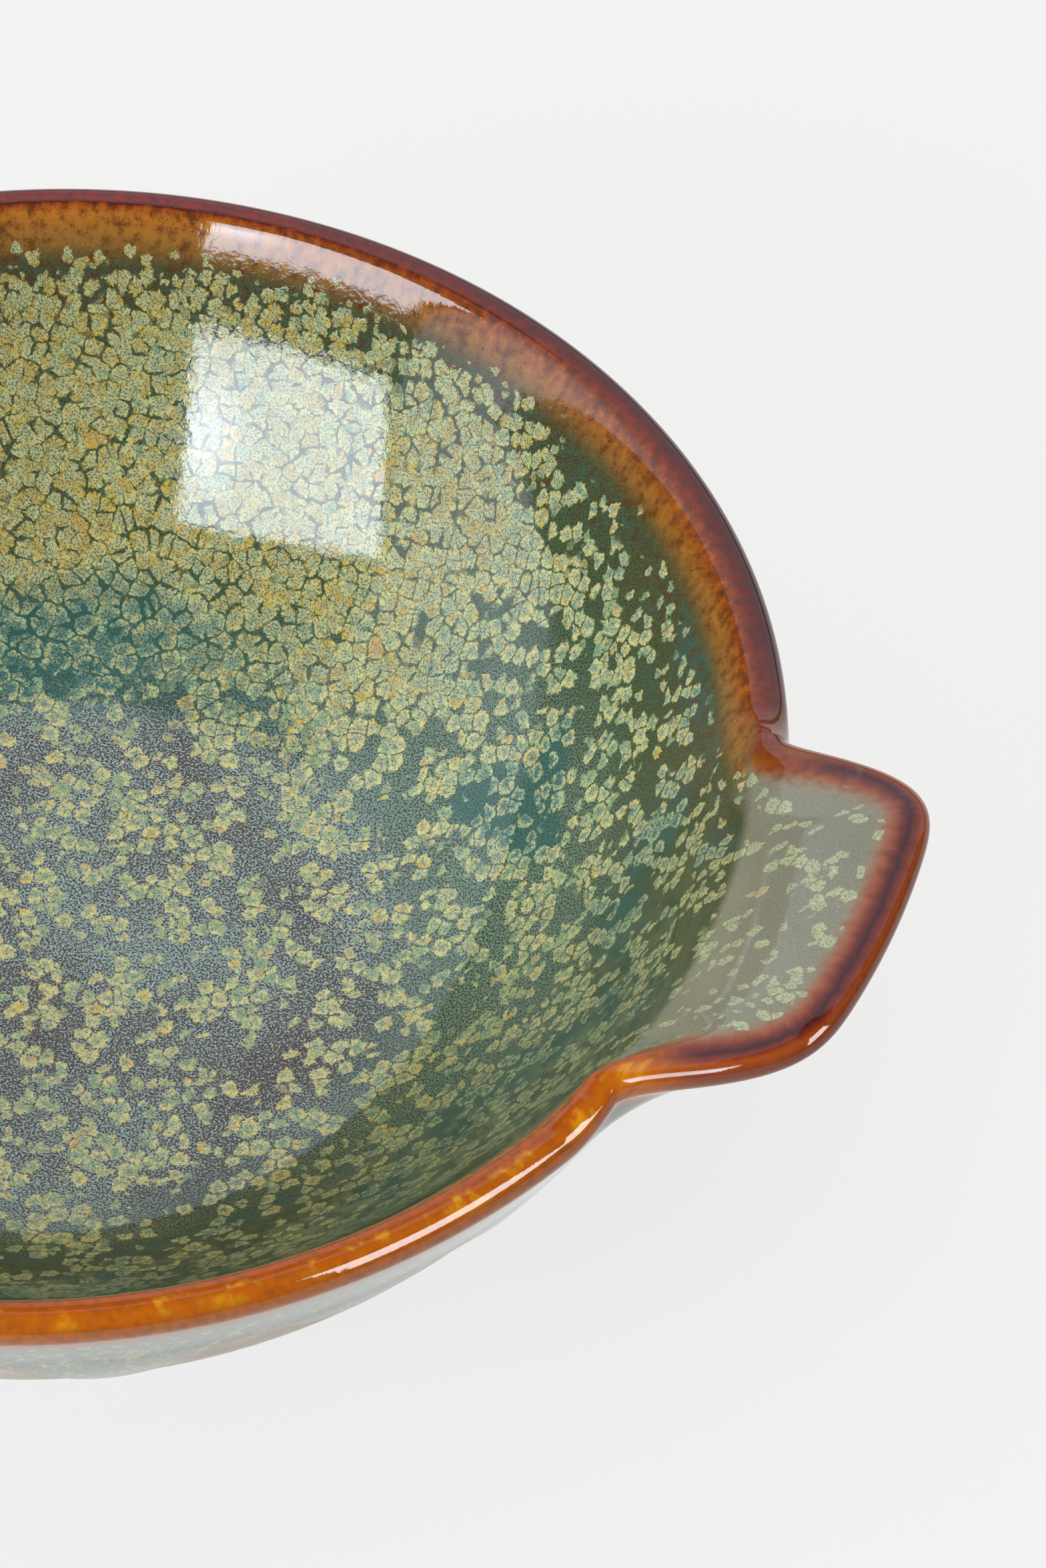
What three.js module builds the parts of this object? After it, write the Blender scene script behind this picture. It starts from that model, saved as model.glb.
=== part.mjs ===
// A small stoneware dip bowl with one raised lug on its rim, standing on a turned foot ring.
// Millimetres, +Z up, the lug points along +X and the foot rests on z = 0.
import * as THREE from 'three';

// Bowl, measured on the glazed surface
const rimRadius = 53; // to the crest of the lip
const rimHeight = 34.5; // crest of the plain lip above the table
const lipRound = 1.4; // rounding of the lip's outer edge
const lipTurnAngle = 115; // degrees that the rounding turns
const lipInset = 5; // where the inner wall starts to roll into the lip
const lipDrop = 5.7;
const innerAngle = 56.8; // degrees from level
const floorHeight = 7.4; // middle of the floor above the table
const floorRadius = 23.8;
const floorDishDepth = 0.8; // rise of the floor from its middle to its edge
const wallInset = 2.1; // where the outer wall starts below the lip
const wallDrop = 8.8;
const wallAngle = 66; // degrees from level

// Lug
const lugReach = 11.3; // beyond the lip
const lugLift = 6.5; // above the plain lip
const lugRound = 1.05; // rounding of the lug's edge
const lugTurnAngle = 185; // degrees that the rounding turns
const lugTipWidth = 11; // straight part of the outer edge
const lugRootWidth = 34.7; // where the lug leaves the rim
const riseTipWidth = 11.9; // part that stands at full height
const riseRootWidth = 43.7; // where the rim starts to climb
const reachFlare = { root: 1.6, tip: 4.8 }; // powers that shape the lug seen from above
const liftFlare = { root: 2, tip: 4 }; // and seen from the side

// Foot ring, bare clay
const footRadius = 28.8;
const footHeight = 3.2;
const footWidth = 4.4;
const footBevel = 0.8;
const footAngle = 29.5; // of the outer wall where it meets the foot, degrees from level

// Glaze
const glaze = 0.4; // thickness of every coat
const coatDrop = 12.5; // mean depth of the outer coat's lower edge below the crest
const coatWave = 2.4;
const coatWaves = 9;
const coatLowAngle = -61; // where the edge runs lowest

// Fullness of the curves: how far each end pulls, as a share of the distance between the ends
const innerPull = { start: 0.278, end: 0.357 };
const wallPull = { start: 0.59, end: 0.286 };
const lipPull = { start: 1.007, end: 0.179 };
const facePull = { start: 0.34, end: 0.254 };
const underPull = { start: 0.21, end: 0.21 };
const lugUnderPull = { start: 0.06, end: 0.73 };

// Steps of the surface along each stretch of the profile and around the rim
const profileSteps = {
  floorSteps: 2,
  innerSteps: 4,
  faceSteps: 4,
  lipSteps: 3,
  underSteps: 3,
  coatSteps: 2,
  bareSteps: 3,
};
const lugSteps = 20;
const plainSteps = 44;

const { clamp, degToRad, lerp } = THREE.MathUtils;
const nudge = 1e-4;
const lipRadius = rimRadius + lipRound;
const tipRadius = lipRadius + lugReach;
const halfAngle = (width, radius) => Math.asin(width / 2 / radius);
const lugTip = halfAngle(lugTipWidth, tipRadius);
const lugRoot = halfAngle(lugRootWidth, lipRadius);
const riseTip = halfAngle(riseTipWidth, tipRadius);
const riseRoot = halfAngle(riseRootWidth, lipRadius);
const lugEnd = Math.max(lugRoot, riseRoot);

// 0 on the plain rim, 1 along the tip of the lug
function share(angle, tip, root, flare) {
  const across = clamp((root - Math.abs(angle)) / (root - tip), 0, 1);
  return 1 - (1 - across ** flare.root) ** flare.tip;
}

const reachShare = (angle) => share(angle, lugTip, lugRoot, reachFlare);
const liftShare = (angle) => share(angle, riseTip, riseRoot, liftFlare);
const outline = (angle) => lipRadius + lugReach * reachShare(angle);

function curve(start, startWay, startPull, end, endWay, endPull, t) {
  const span = start.distanceTo(end);
  const first = start.clone().addScaledVector(startWay, span * startPull);
  const second = end.clone().addScaledVector(endWay, -span * endPull);
  return new THREE.CubicBezierCurve3(start, first, second, end).getPoint(t);
}

// Height of the outer coat's lower edge
function coatEdge(angle) {
  return rimHeight - coatDrop - coatWave * Math.cos(coatWaves * (angle - degToRad(coatLowAngle)));
}

// Share of a falling curve at which it comes down to a height
function shareAtHeight(height, pointAt) {
  let low = 0;
  let high = 1;
  for (let k = 0; k < 30; k += 1) {
    const middle = (low + high) / 2;
    if (pointAt(middle).z > height) low = middle;
    else high = middle;
  }
  return high;
}

// Everything that the profile needs at one angle around the bowl
function profileFrame(angle) {
  const out = new THREE.Vector3(Math.cos(angle), Math.sin(angle), 0);
  const side = new THREE.Vector3(-out.y, out.x, 0);
  const point = (radius, height) => out.clone().multiplyScalar(radius).setZ(height);
  const rising = (degrees) => point(Math.cos(degToRad(degrees)), Math.sin(degToRad(degrees)));
  const reach = reachShare(angle);
  const round = lerp(lipRound, lugRound, reach);
  const growth = (outline(angle + nudge) - outline(angle - nudge)) / (2 * nudge);
  const facing = out.clone().multiplyScalar(outline(angle)).addScaledVector(side, -growth).normalize();
  const turned = (degrees) => facing.clone().multiplyScalar(Math.cos(degToRad(degrees)))
    .setZ(Math.sin(degToRad(degrees)));
  const crest = rimHeight + lugLift * liftShare(angle);
  const roundCentre = point(outline(angle), crest - round).addScaledVector(facing, -round);
  const wallTop = point(rimRadius - wallInset, rimHeight - wallDrop);
  const wallWay = rising(wallAngle).negate();
  const footWay = rising(footAngle).negate();
  const footFacing = rising(footAngle - 90);
  const wallFoot = point(footRadius, footHeight).addScaledVector(footFacing, glaze);
  const wall = (t) => curve(wallTop, wallWay, wallPull.start, wallFoot, footWay, wallPull.end, t);
  return {
    point,
    reach,
    facing,
    wallTop,
    wallWay,
    wall,
    turn: lerp(lipTurnAngle, lugTurnAngle, reach),
    rounding: (degrees) => turned(degrees).multiplyScalar(round).add(roundCentre),
    roundingWay: (degrees) => turned(degrees - 90),
    roll: point(rimRadius - lipInset, rimHeight - lipDrop),
    rollWay: rising(innerAngle),
    floorEdge: point(floorRadius, floorHeight + floorDishDepth),
    floorWay: point(floorRadius, 2 * floorDishDepth).normalize(),
    coatShare: () => shareAtHeight(coatEdge(angle), wall),
  };
}

// Stretches of the profile, from the middle of the floor over the lip and down to the foot
const stretches = {
  floor: (t, at) => at.point(floorRadius * t, floorHeight + floorDishDepth * t * t),
  inner: (t, at) => curve(at.floorEdge, at.floorWay, innerPull.start, at.roll, at.rollWay, innerPull.end, t),
  face: (t, at) => {
    const start = lerp(lipPull.start, facePull.start, at.reach);
    const end = lerp(lipPull.end, facePull.end, at.reach);
    return curve(at.roll, at.rollWay, start, at.rounding(90), at.facing, end, t);
  },
  lip: (t, at) => at.rounding(90 - at.turn * t),
  under: (t, at) => {
    const stop = 90 - at.turn;
    const start = lerp(underPull.start, lugUnderPull.start, at.reach);
    const end = lerp(underPull.end, lugUnderPull.end, at.reach);
    return curve(at.rounding(stop), at.roundingWay(stop), start, at.wallTop, at.wallWay, end, t);
  },
  coat: (t, at) => at.wall(at.coatShare() * t),
  bare: (t, at) => at.wall(lerp(at.coatShare(), 1, t)),
};
const stretchNames = Object.keys(stretches);

// Surface point: the whole part of u picks the stretch and the rest is the share along it
function surfacePoint(u, angle) {
  const k = Math.min(Math.floor(u), stretchNames.length - 1);
  return stretches[stretchNames[k]](u - k, profileFrame(angle));
}

function surfaceNormal(u, angle) {
  const ahead = Math.min(u + nudge, stretchNames.length);
  const along = surfacePoint(ahead, angle).sub(surfacePoint(u - nudge, angle));
  const around = surfacePoint(u, angle + nudge).sub(surfacePoint(u, angle - nudge));
  return along.cross(around).normalize();
}

// Columns around the bowl, close together over the lug
const columnCount = lugSteps + plainSteps;
const angles = Array.from({ length: columnCount }, (_, j) => (j <= lugSteps
  ? lerp(-lugEnd, lugEnd, j / lugSteps)
  : lerp(lugEnd, 2 * Math.PI - lugEnd, (j - lugSteps) / plainSteps)));
const range = (from, to) => Array.from({ length: to - from + 1 }, (_, k) => from + k);
const lugColumns = range(0, lugSteps);
const plainColumns = range(lugSteps, columnCount);
const allColumns = range(0, columnCount);
const middle = (height) => Array(columnCount).fill(new THREE.Vector3(0, 0, height));
const ring = (radius, height) => angles.map(
  (angle) => new THREE.Vector3(radius * Math.cos(angle), radius * Math.sin(angle), height));

// Rows of points on the glazed surface and on the clay below it
const glazed = [middle(floorHeight)];
const clay = [middle(floorHeight - glaze)];
const lastRow = {};
stretchNames.forEach((name, k) => {
  const steps = profileSteps[`${name}Steps`];
  for (let step = 1; step <= steps; step += 1) {
    const u = k + step / steps;
    const row = angles.map((angle) => surfacePoint(u, angle));
    glazed.push(row);
    clay.push(row.map((p, j) => p.clone().addScaledVector(surfaceNormal(u, angles[j]), -glaze)));
  }
  lastRow[name] = glazed.length - 1;
});
clay[lastRow.bare] = ring(footRadius, footHeight);

// Triangles between two rows of points, facing out when the rows run from the floor to the foot
function strip(upper, lower) {
  const triangles = [];
  for (let k = 0; k + 1 < upper.length; k += 1) {
    triangles.push([upper[k], lower[k], lower[k + 1]], [upper[k], lower[k + 1], upper[k + 1]]);
  }
  return triangles.filter(([a, b, c]) => a !== b && b !== c && c !== a);
}

const flip = (triangles) => triangles.map(([a, b, c]) => [a, c, b]);
const pick = (row, columns) => columns.map((j) => row[j % columnCount]);
const sheet = (rows, columns) => rows.slice(1).flatMap(
  (row, k) => strip(pick(rows[k], columns), pick(row, columns)));

// One coat of glaze over some rows and columns, closed by the clay below it and by its own edges
function coat(from, to, columns) {
  const over = glazed.slice(from, to + 1);
  const under = clay.slice(from, to + 1);
  const end = (j) => strip(under.map((row) => row[j % columnCount]), over.map((row) => row[j % columnCount]));
  const edge = (row) => strip(pick(glazed[row], columns), pick(clay[row], columns));
  const triangles = [...sheet(over, columns), ...flip(sheet(under, columns)), ...edge(to)];
  if (from > 0) triangles.push(...flip(edge(from)));
  if (columns !== allColumns) triangles.push(...flip(end(columns[0])), ...end(columns.at(-1)));
  return triangles;
}

// Section through the clay of the lip at one column, where body and lug meet
const lipClay = clay.slice(lastRow.inner, lastRow.under + 1);
function lipSection(j) {
  const points = lipClay.map((row) => row[j]);
  const triangles = [];
  for (let a = 0, b = points.length - 1; a + 1 < b; a += 1, b -= 1) {
    triangles.push([points[a], points[a + 1], points[b - 1]], [points[a], points[b - 1], points[b]]);
  }
  return triangles.filter(([p, q, r]) => p !== q && q !== r && r !== p);
}

const lugSeat = [
  ...sheet([clay[lastRow.inner], clay[lastRow.under]], lugColumns),
  ...flip(lipSection(lugSteps)),
  ...lipSection(0),
];
const body = [
  ...sheet(clay.slice(0, lastRow.inner + 1), allColumns),
  ...sheet(lipClay, plainColumns),
  ...lugSeat,
  ...sheet([...clay.slice(lastRow.under), middle(footHeight)], allColumns),
];
const lug = [...sheet(lipClay, lugColumns), ...flip(lugSeat)];

const footInner = footRadius - footWidth;
const footTop = clay[lastRow.bare];
const foot = sheet([
  footTop,
  ring(footRadius, footBevel),
  ring(footRadius - footBevel, 0),
  ring(footInner + footBevel, 0),
  ring(footInner, footBevel),
  ring(footInner, footHeight),
  footTop,
], allColumns);

const edgeRow = lastRow.face - 1; // the coloured edge of the lug starts just inside its crest
const pieces = [
  ['stoneware_body', body, 0xd8cdbd, 0.9],
  ['lug_handle', lug, 0xd3c6b3, 0.9],
  ['foot_ring', foot, 0xcfc3b1, 0.95],
  ['inner_glaze', coat(0, lastRow.inner, allColumns), 0x6c7a52, 0.18],
  ['rim_glaze', coat(lastRow.inner, lastRow.under, plainColumns), 0x9c4a14, 0.15],
  ['lug_face_glaze', coat(lastRow.inner, edgeRow, lugColumns), 0x8f8f7c, 0.2],
  ['lug_edge_glaze', coat(edgeRow, lastRow.lip, lugColumns), 0x8f3d12, 0.15],
  ['lug_under_glaze', coat(lastRow.lip, lastRow.under, lugColumns), 0xa0602c, 0.25],
  ['outer_glaze', coat(lastRow.under, lastRow.coat, allColumns), 0x93a08f, 0.25],
];

function mesh(name, triangles, color, roughness) {
  const places = new Map();
  const index = triangles.flat().map((corner) => {
    if (!places.has(corner)) places.set(corner, places.size);
    return places.get(corner);
  });
  const geometry = new THREE.BufferGeometry().setFromPoints([...places.keys()]);
  geometry.setIndex(index);
  geometry.computeVertexNormals();
  const piece = new THREE.Mesh(geometry, new THREE.MeshStandardMaterial({ color, roughness, metalness: 0 }));
  piece.name = name;
  return piece;
}

const bowl = new THREE.Group();
bowl.name = 'dip_bowl';
bowl.add(...pieces.map((piece) => mesh(...piece)));
bowl.position.x = -lugReach / 2; // middle of the whole outline on the origin
export default bowl;
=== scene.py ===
import bpy
import numpy as np
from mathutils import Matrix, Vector
from mathutils.kdtree import KDTree


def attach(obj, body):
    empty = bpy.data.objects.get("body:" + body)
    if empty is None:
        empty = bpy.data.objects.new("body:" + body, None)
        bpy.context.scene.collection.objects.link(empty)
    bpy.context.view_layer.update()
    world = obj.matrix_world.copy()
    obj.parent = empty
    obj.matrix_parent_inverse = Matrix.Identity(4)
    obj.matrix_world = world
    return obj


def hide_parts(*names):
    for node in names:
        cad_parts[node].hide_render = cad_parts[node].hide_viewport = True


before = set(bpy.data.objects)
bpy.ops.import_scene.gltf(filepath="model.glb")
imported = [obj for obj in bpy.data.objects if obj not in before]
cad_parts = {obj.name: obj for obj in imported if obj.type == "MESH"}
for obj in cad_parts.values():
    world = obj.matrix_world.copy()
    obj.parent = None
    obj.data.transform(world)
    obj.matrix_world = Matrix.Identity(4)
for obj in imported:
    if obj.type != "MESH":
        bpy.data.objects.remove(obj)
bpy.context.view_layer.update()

millimetre = 0.001
photoTurn = 21.5  # degrees from +Y to the way that the camera looks

# Sizes of the bowl in millimetres, measured on the glazed surface
bowl = {
    "axisX": -5.65,
    "rimRadius": 53.0, "rimHeight": 34.5, "lipRound": 1.4, "lipTurn": 115.0,
    "lipInset": 5.0, "lipDrop": 5.7, "innerAngle": 56.8,
    "floorHeight": 7.4, "floorRadius": 23.8, "floorDish": 0.8,
    "wallInset": 2.1, "wallDrop": 8.8, "wallAngle": 66.0,
    "footRadius": 28.8, "footHeight": 3.2, "footAngle": 29.5,
    "innerPull": (0.278, 0.357), "wallPull": (0.59, 0.286),
    "lipPull": (1.007, 0.179), "underPull": (0.21, 0.21),
    "glaze": 0.4, "clayGap": 0.02,  # thickness of a coat, and what its underside leaves above the clay
}
lug = {
    "reach": 11.3, "lift": 6.5, "round": 1.05, "turn": 185.0,
    "tipWidth": 11.0, "rootWidth": 34.7, "riseTipWidth": 11.9, "riseRootWidth": 43.7,
    "reachFlare": (1.6, 4.8), "liftFlare": (2.0, 4.0),
    "facePull": (0.34, 0.254), "underPull": (0.06, 0.73),
    "edgeStart": 0.75,  # share of the face where the coloured edge begins
}
coatEdge = {"height": 22.6, "wave": 4.1, "highest": 25.2, "lowAngle": -61.0, "waves": (18, 7, 11),
            "mix": (0.5, 0.25, 0.25)}
columns = {"lug": 168, "plain": 316}
samples = {"wall": 241, "root": 400, "crestLug": 1600, "crestPlain": 2400, "runLow": 80, "runHigh": 240}
# Places on the profile, from the middle of the floor over the lip and down to the foot
station = {"floor": 0, "inner": 1, "face": 2, "lip": 3, "under": 4, "coat": 5, "bare": 6, "foot": 7}

lipRadius = bowl["rimRadius"] + bowl["lipRound"]
tipRadius = lipRadius + lug["reach"]
up = np.array([0.0, 0.0, 1.0])
nudge = 1e-4  # step for slopes
tiny = 1e-12
samePoint = 1e-6  # corners nearer than this are one


def unit(vectors):
    return vectors / np.linalg.norm(vectors, axis=-1, keepdims=True)


def halfAngle(width, radius):
    return np.arcsin(width / 2 / radius)


lugEnd = halfAngle(lug["riseRootWidth"], lipRadius)


def share(angle, tip, root, flare):  # 0 on the plain rim, 1 along the tip of the lug
    across = np.clip((root - np.abs(angle)) / (root - tip), 0, 1)
    return 1 - (1 - across ** flare[0]) ** flare[1]


def wrap(angle):
    return (angle + np.pi) % (2 * np.pi) - np.pi


def reachShare(angle):
    return share(wrap(angle), halfAngle(lug["tipWidth"], tipRadius), halfAngle(lug["rootWidth"], lipRadius),
                 lug["reachFlare"])


def liftShare(angle):
    return share(wrap(angle), halfAngle(lug["riseTipWidth"], tipRadius), lugEnd, lug["liftFlare"])


def outline(angle):
    return lipRadius + lug["reach"] * reachShare(angle)


def coatHeight(angle):  # wavy lower edge of the outer coat
    turn = angle - np.radians(coatEdge["lowAngle"])
    wave = sum(m * np.cos(n * turn) for m, n in zip(coatEdge["mix"], coatEdge["waves"]))
    return np.minimum(coatEdge["height"] - coatEdge["wave"] * wave, coatEdge["highest"])


def bend(start, startWay, startPull, end, endWay, endPull, t):
    span = np.linalg.norm(end - start, axis=-1, keepdims=True)
    first = start + startWay * span * startPull
    second = end - endWay * span * endPull
    s = 1 - t
    return s ** 3 * start + 3 * t * s * s * first + 3 * t * t * s * second + t ** 3 * end


# Points of the profile at the places u, for each angle round the bowl
def surfaceAt(u, angle):
    u = np.asarray(u, float)
    angle = np.asarray(angle, float)
    cos, sin = np.cos(angle), np.sin(angle)
    out = np.stack([cos, sin, 0 * cos], -1)[None]
    side = np.stack([-sin, cos, 0 * cos], -1)[None]
    reach = reachShare(angle)[None, :, None]
    mix = lambda a, b: a + (b - a) * reach
    rising = lambda degrees: np.cos(np.radians(degrees)) * out + np.sin(np.radians(degrees)) * up
    point = lambda radius, height: radius * out + height * up
    growth = ((outline(angle + nudge) - outline(angle - nudge)) / (2 * nudge))[None, :, None]
    radius = outline(angle)[None, :, None]
    facing = unit(radius * out - growth * side)
    rounding = mix(bowl["lipRound"], lug["round"])
    crest = (bowl["rimHeight"] + lug["lift"] * liftShare(angle))[None, :, None]
    centre = radius * out - rounding * facing + (crest - rounding) * up
    turned = lambda a: np.cos(np.radians(a)) * facing + np.sin(np.radians(a)) * up
    arc = lambda a: centre + rounding * turned(a)
    stop = 90 - mix(bowl["lipTurn"], lug["turn"])
    floorEdge = point(bowl["floorRadius"], bowl["floorHeight"] + bowl["floorDish"])
    floorWay = unit(point(bowl["floorRadius"], 2 * bowl["floorDish"]))
    roll = point(bowl["rimRadius"] - bowl["lipInset"], bowl["rimHeight"] - bowl["lipDrop"])
    wallTop = point(bowl["rimRadius"] - bowl["wallInset"], bowl["rimHeight"] - bowl["wallDrop"])
    wallFoot = point(bowl["footRadius"], bowl["footHeight"]) + bowl["glaze"] * rising(bowl["footAngle"] - 90)
    wall = lambda t: bend(wallTop, -rising(bowl["wallAngle"]), bowl["wallPull"][0], wallFoot,
                          -rising(bowl["footAngle"]), bowl["wallPull"][1], t)
    fine = np.linspace(0, 1, samples["wall"])
    heights = wall(fine[:, None, None])[:, 0, 2]
    coatShare = np.interp(-coatHeight(angle), -heights, fine)[None, :, None]
    stretches = (
        lambda t: point(bowl["floorRadius"] * t, bowl["floorHeight"] + bowl["floorDish"] * t * t),
        lambda t: bend(floorEdge, floorWay, bowl["innerPull"][0], roll, rising(bowl["innerAngle"]),
                       bowl["innerPull"][1], t),
        lambda t: bend(roll, rising(bowl["innerAngle"]), mix(bowl["lipPull"][0], lug["facePull"][0]),
                       arc(90.0), facing, mix(bowl["lipPull"][1], lug["facePull"][1]), t),
        lambda t: arc(90 + (stop - 90) * t),
        lambda t: bend(arc(stop), turned(stop - 90), mix(bowl["underPull"][0], lug["underPull"][0]), wallTop,
                       -rising(bowl["wallAngle"]), mix(bowl["underPull"][1], lug["underPull"][1]), t),
        lambda t: wall(coatShare * t),
        lambda t: wall(coatShare + (1 - coatShare) * t),
    )
    which = np.clip(np.floor(u), 0, len(stretches) - 1).astype(int)
    points = np.zeros((len(u), len(angle), 3))
    for k, stretch in enumerate(stretches):
        rows = np.nonzero(which == k)[0]
        if len(rows):
            points[rows] = stretch((u[rows] - k)[:, None, None])
    return points


def normalAt(u, angle):
    u = np.asarray(u, float)
    ahead, behind = np.minimum(u + nudge, station["foot"]), np.maximum(u - nudge, station["floor"])
    along = surfaceAt(ahead, angle) - surfaceAt(behind, angle)
    around = surfaceAt(u, angle + nudge) - surfaceAt(u, angle - nudge)
    normal = np.cross(along, around)
    size = np.linalg.norm(normal, axis=-1, keepdims=True)
    return np.where(size > tiny, normal / np.maximum(size, tiny), up)


# Columns round the bowl, close together over the lug
lugAngles = np.linspace(-lugEnd, lugEnd, columns["lug"] + 1)
plainAngles = np.linspace(lugEnd, 2 * np.pi - lugEnd, columns["plain"] + 1)
allAngles = np.concatenate([lugAngles, plainAngles[1:-1]])

# Way along the surface from the middle of the floor to the root of the lug
rootLine = surfaceAt(np.linspace(station["floor"], station["face"], samples["root"]), [np.pi])[:, 0]
rootRun = float(np.linalg.norm(np.diff(rootLine, axis=0), axis=-1).sum())

crestAngles = np.concatenate([np.linspace(-lugEnd, lugEnd, samples["crestLug"]),
                              np.linspace(lugEnd, 2 * np.pi - lugEnd, samples["crestPlain"])])
crestLine = surfaceAt([station["lip"]], crestAngles)[0]
crestTree = KDTree(len(crestLine))
for k, p in enumerate(crestLine):
    crestTree.insert(p, k)
crestTree.balance()

fieldLook = {"runEnd": 6.02, "faceStart": 1.7, "faceWidth": 0.5, "farRise": 20.0}


# What the glaze paint reads at each point: the way from the middle, the distance past the crest,
# the shares of lug and lift, and the height above the coat's lower edge
def paintFields(u, angle, points):
    fineU = np.concatenate([
        np.linspace(station["floor"], station["face"], samples["runLow"], endpoint=False),
        np.linspace(station["face"], fieldLook["runEnd"], samples["runHigh"])])
    line = surfaceAt(fineU, angle)
    length = np.concatenate([np.zeros((1, len(angle))),
                             np.cumsum(np.linalg.norm(np.diff(line, axis=0), axis=-1), axis=0)])
    run = np.stack([np.interp(u, fineU, length[:, k]) for k in range(len(angle))], 1)
    flow = np.stack([run * np.cos(angle), run * np.sin(angle), 0 * run], -1)
    place = np.asarray(u)[:, None]
    away = np.array([crestTree.find(p)[2] for p in points.reshape(-1, 3)]).reshape(run.shape)
    away = np.where(place < station["lip"], -away, away)
    face = np.clip((place - fieldLook["faceStart"]) / fieldLook["faceWidth"], 0, 1)
    lugPart = np.broadcast_to(reachShare(angle)[None], run.shape) * face
    lift = np.broadcast_to(liftShare(angle)[None], run.shape) * face
    rise = np.where(place >= station["coat"], points[..., 2] - coatHeight(angle)[None], fieldLook["farRise"])
    return {"flow": flow, "crest": away, "lug": lugPart, "lift": lift, "rise": rise}


sharpAngle = 35.0  # clay edges that turn more than this stay crisp


def addObject(name, vertices, faces, node, material, cornerNormals=None, fields=None):
    mesh = bpy.data.meshes.new(name)
    placed = (np.asarray(vertices) + np.array([bowl["axisX"], 0, 0])) * millimetre
    mesh.from_pydata(placed.tolist(), [], [list(f) for f in faces])
    for key, values in (fields or {}).items():
        kind, field = ("FLOAT_VECTOR", "vector") if values.ndim == 2 else ("FLOAT", "value")
        layer = mesh.attributes.new(key, kind, "POINT")
        layer.data.foreach_set(field, np.ascontiguousarray(values, np.float32).ravel())
    mesh.polygons.foreach_set("use_smooth", [True] * len(mesh.polygons))
    if cornerNormals is None:
        mesh.set_sharp_from_angle(angle=np.radians(sharpAngle))
    else:
        mesh.normals_split_custom_set([tuple(n) for n in cornerNormals])
    mesh.update()
    piece = bpy.data.objects.new(name, mesh)
    bpy.context.scene.collection.objects.link(piece)
    mesh.materials.append(material)
    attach(piece, "root")
    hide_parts(node)
    return piece


# A coat of glaze: the seen surface, its underside on the clay and its edges
def coatPiece(name, u, angle, ring, node, material, beadSteps=0):
    top = surfaceAt(u, angle)
    normal = normalAt(u, angle)
    fields = paintFields(u, angle, top)
    under = top - (bowl["glaze"] - bowl["clayGap"]) * normal
    if beadSteps:  # the lower edge is a rounded roll
        along = unit(top[-1] - top[-2])
        size = bowl["glaze"]
        turns = np.radians(np.linspace(0, 90, beadSteps + 1)[1:])
        roll = [top[-1] + size * np.sin(a) * along - size * (1 - np.cos(a)) * normal[-1] for a in turns]
        rollNormal = [np.cos(a) * normal[-1] + np.sin(a) * along for a in turns]
        top = np.concatenate([top, np.array(roll)])
        normal = np.concatenate([normal, np.array(rollNormal)])
        under = np.concatenate([under, np.repeat(under[-1:], beadSteps, 0)])
        for key in fields:
            fields[key] = np.concatenate([fields[key], np.repeat(fields[key][-1:], beadSteps, 0)])
    rows, count = top.shape[:2]
    last = count - 1
    vertices = np.concatenate([top.reshape(-1, 3), under.reshape(-1, 3)])
    vertexNormals = np.concatenate([normal.reshape(-1, 3), -normal.reshape(-1, 3)])
    topId = lambda i, j: i * count + j % count
    underId = lambda i, j: rows * count + i * count + j % count
    wide = count if ring else last
    faces, cornerNormals = [], []
    pole = np.allclose(top[0, 0], top[0, 1])

    def wholeFace(ids):
        faces.append(ids)
        cornerNormals.extend(vertexNormals[k] for k in ids)

    def trimmedFace(ids, flat=False):  # leaves out corners that fall together
        kept = []
        for k in ids:
            if all(np.abs(vertices[k] - vertices[m]).max() > samePoint for m in kept):
                kept.append(k)
        if len(kept) < 3:
            return
        if not flat:
            wholeFace(kept)
            return
        faces.append(kept)
        a, b, c = (vertices[k] for k in kept[:3])
        n = np.cross(b - a, c - a)
        cornerNormals.extend([n / max(np.linalg.norm(n), tiny)] * len(kept))

    for i in range(rows - 1):
        atPole, onBead = pole and i == 0, beadSteps and i >= rows - beadSteps - 1
        addFace = trimmedFace if atPole or onBead else wholeFace
        for j in range(wide):
            addFace([topId(i, j), topId(i + 1, j), topId(i + 1, j + 1), topId(i, j + 1)])
            addFace([underId(i, j), underId(i, j + 1), underId(i + 1, j + 1), underId(i + 1, j)])
    end = rows - 1
    for j in range(wide):
        trimmedFace([topId(end, j), underId(end, j), underId(end, j + 1), topId(end, j + 1)], True)
        if not pole:
            trimmedFace([topId(0, j), topId(0, j + 1), underId(0, j + 1), underId(0, j)], True)
    if not ring:
        for i in range(rows - 1):
            trimmedFace([topId(i, 0), underId(i, 0), underId(i + 1, 0), topId(i + 1, 0)], True)
            trimmedFace([topId(i, last), topId(i + 1, last), underId(i + 1, last), underId(i, last)], True)
    used = sorted({k for f in faces for k in f})
    renumber = {k: n for n, k in enumerate(used)}
    faces = [[renumber[k] for k in f] for f in faces]
    flat = {}
    for key, values in fields.items():
        values = values.reshape(-1, 3) if values.ndim == 3 else values.reshape(-1)
        flat[key] = np.concatenate([values, values])[used]
    return addObject(name, vertices[used], faces, node, material, cornerNormals, flat)


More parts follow.
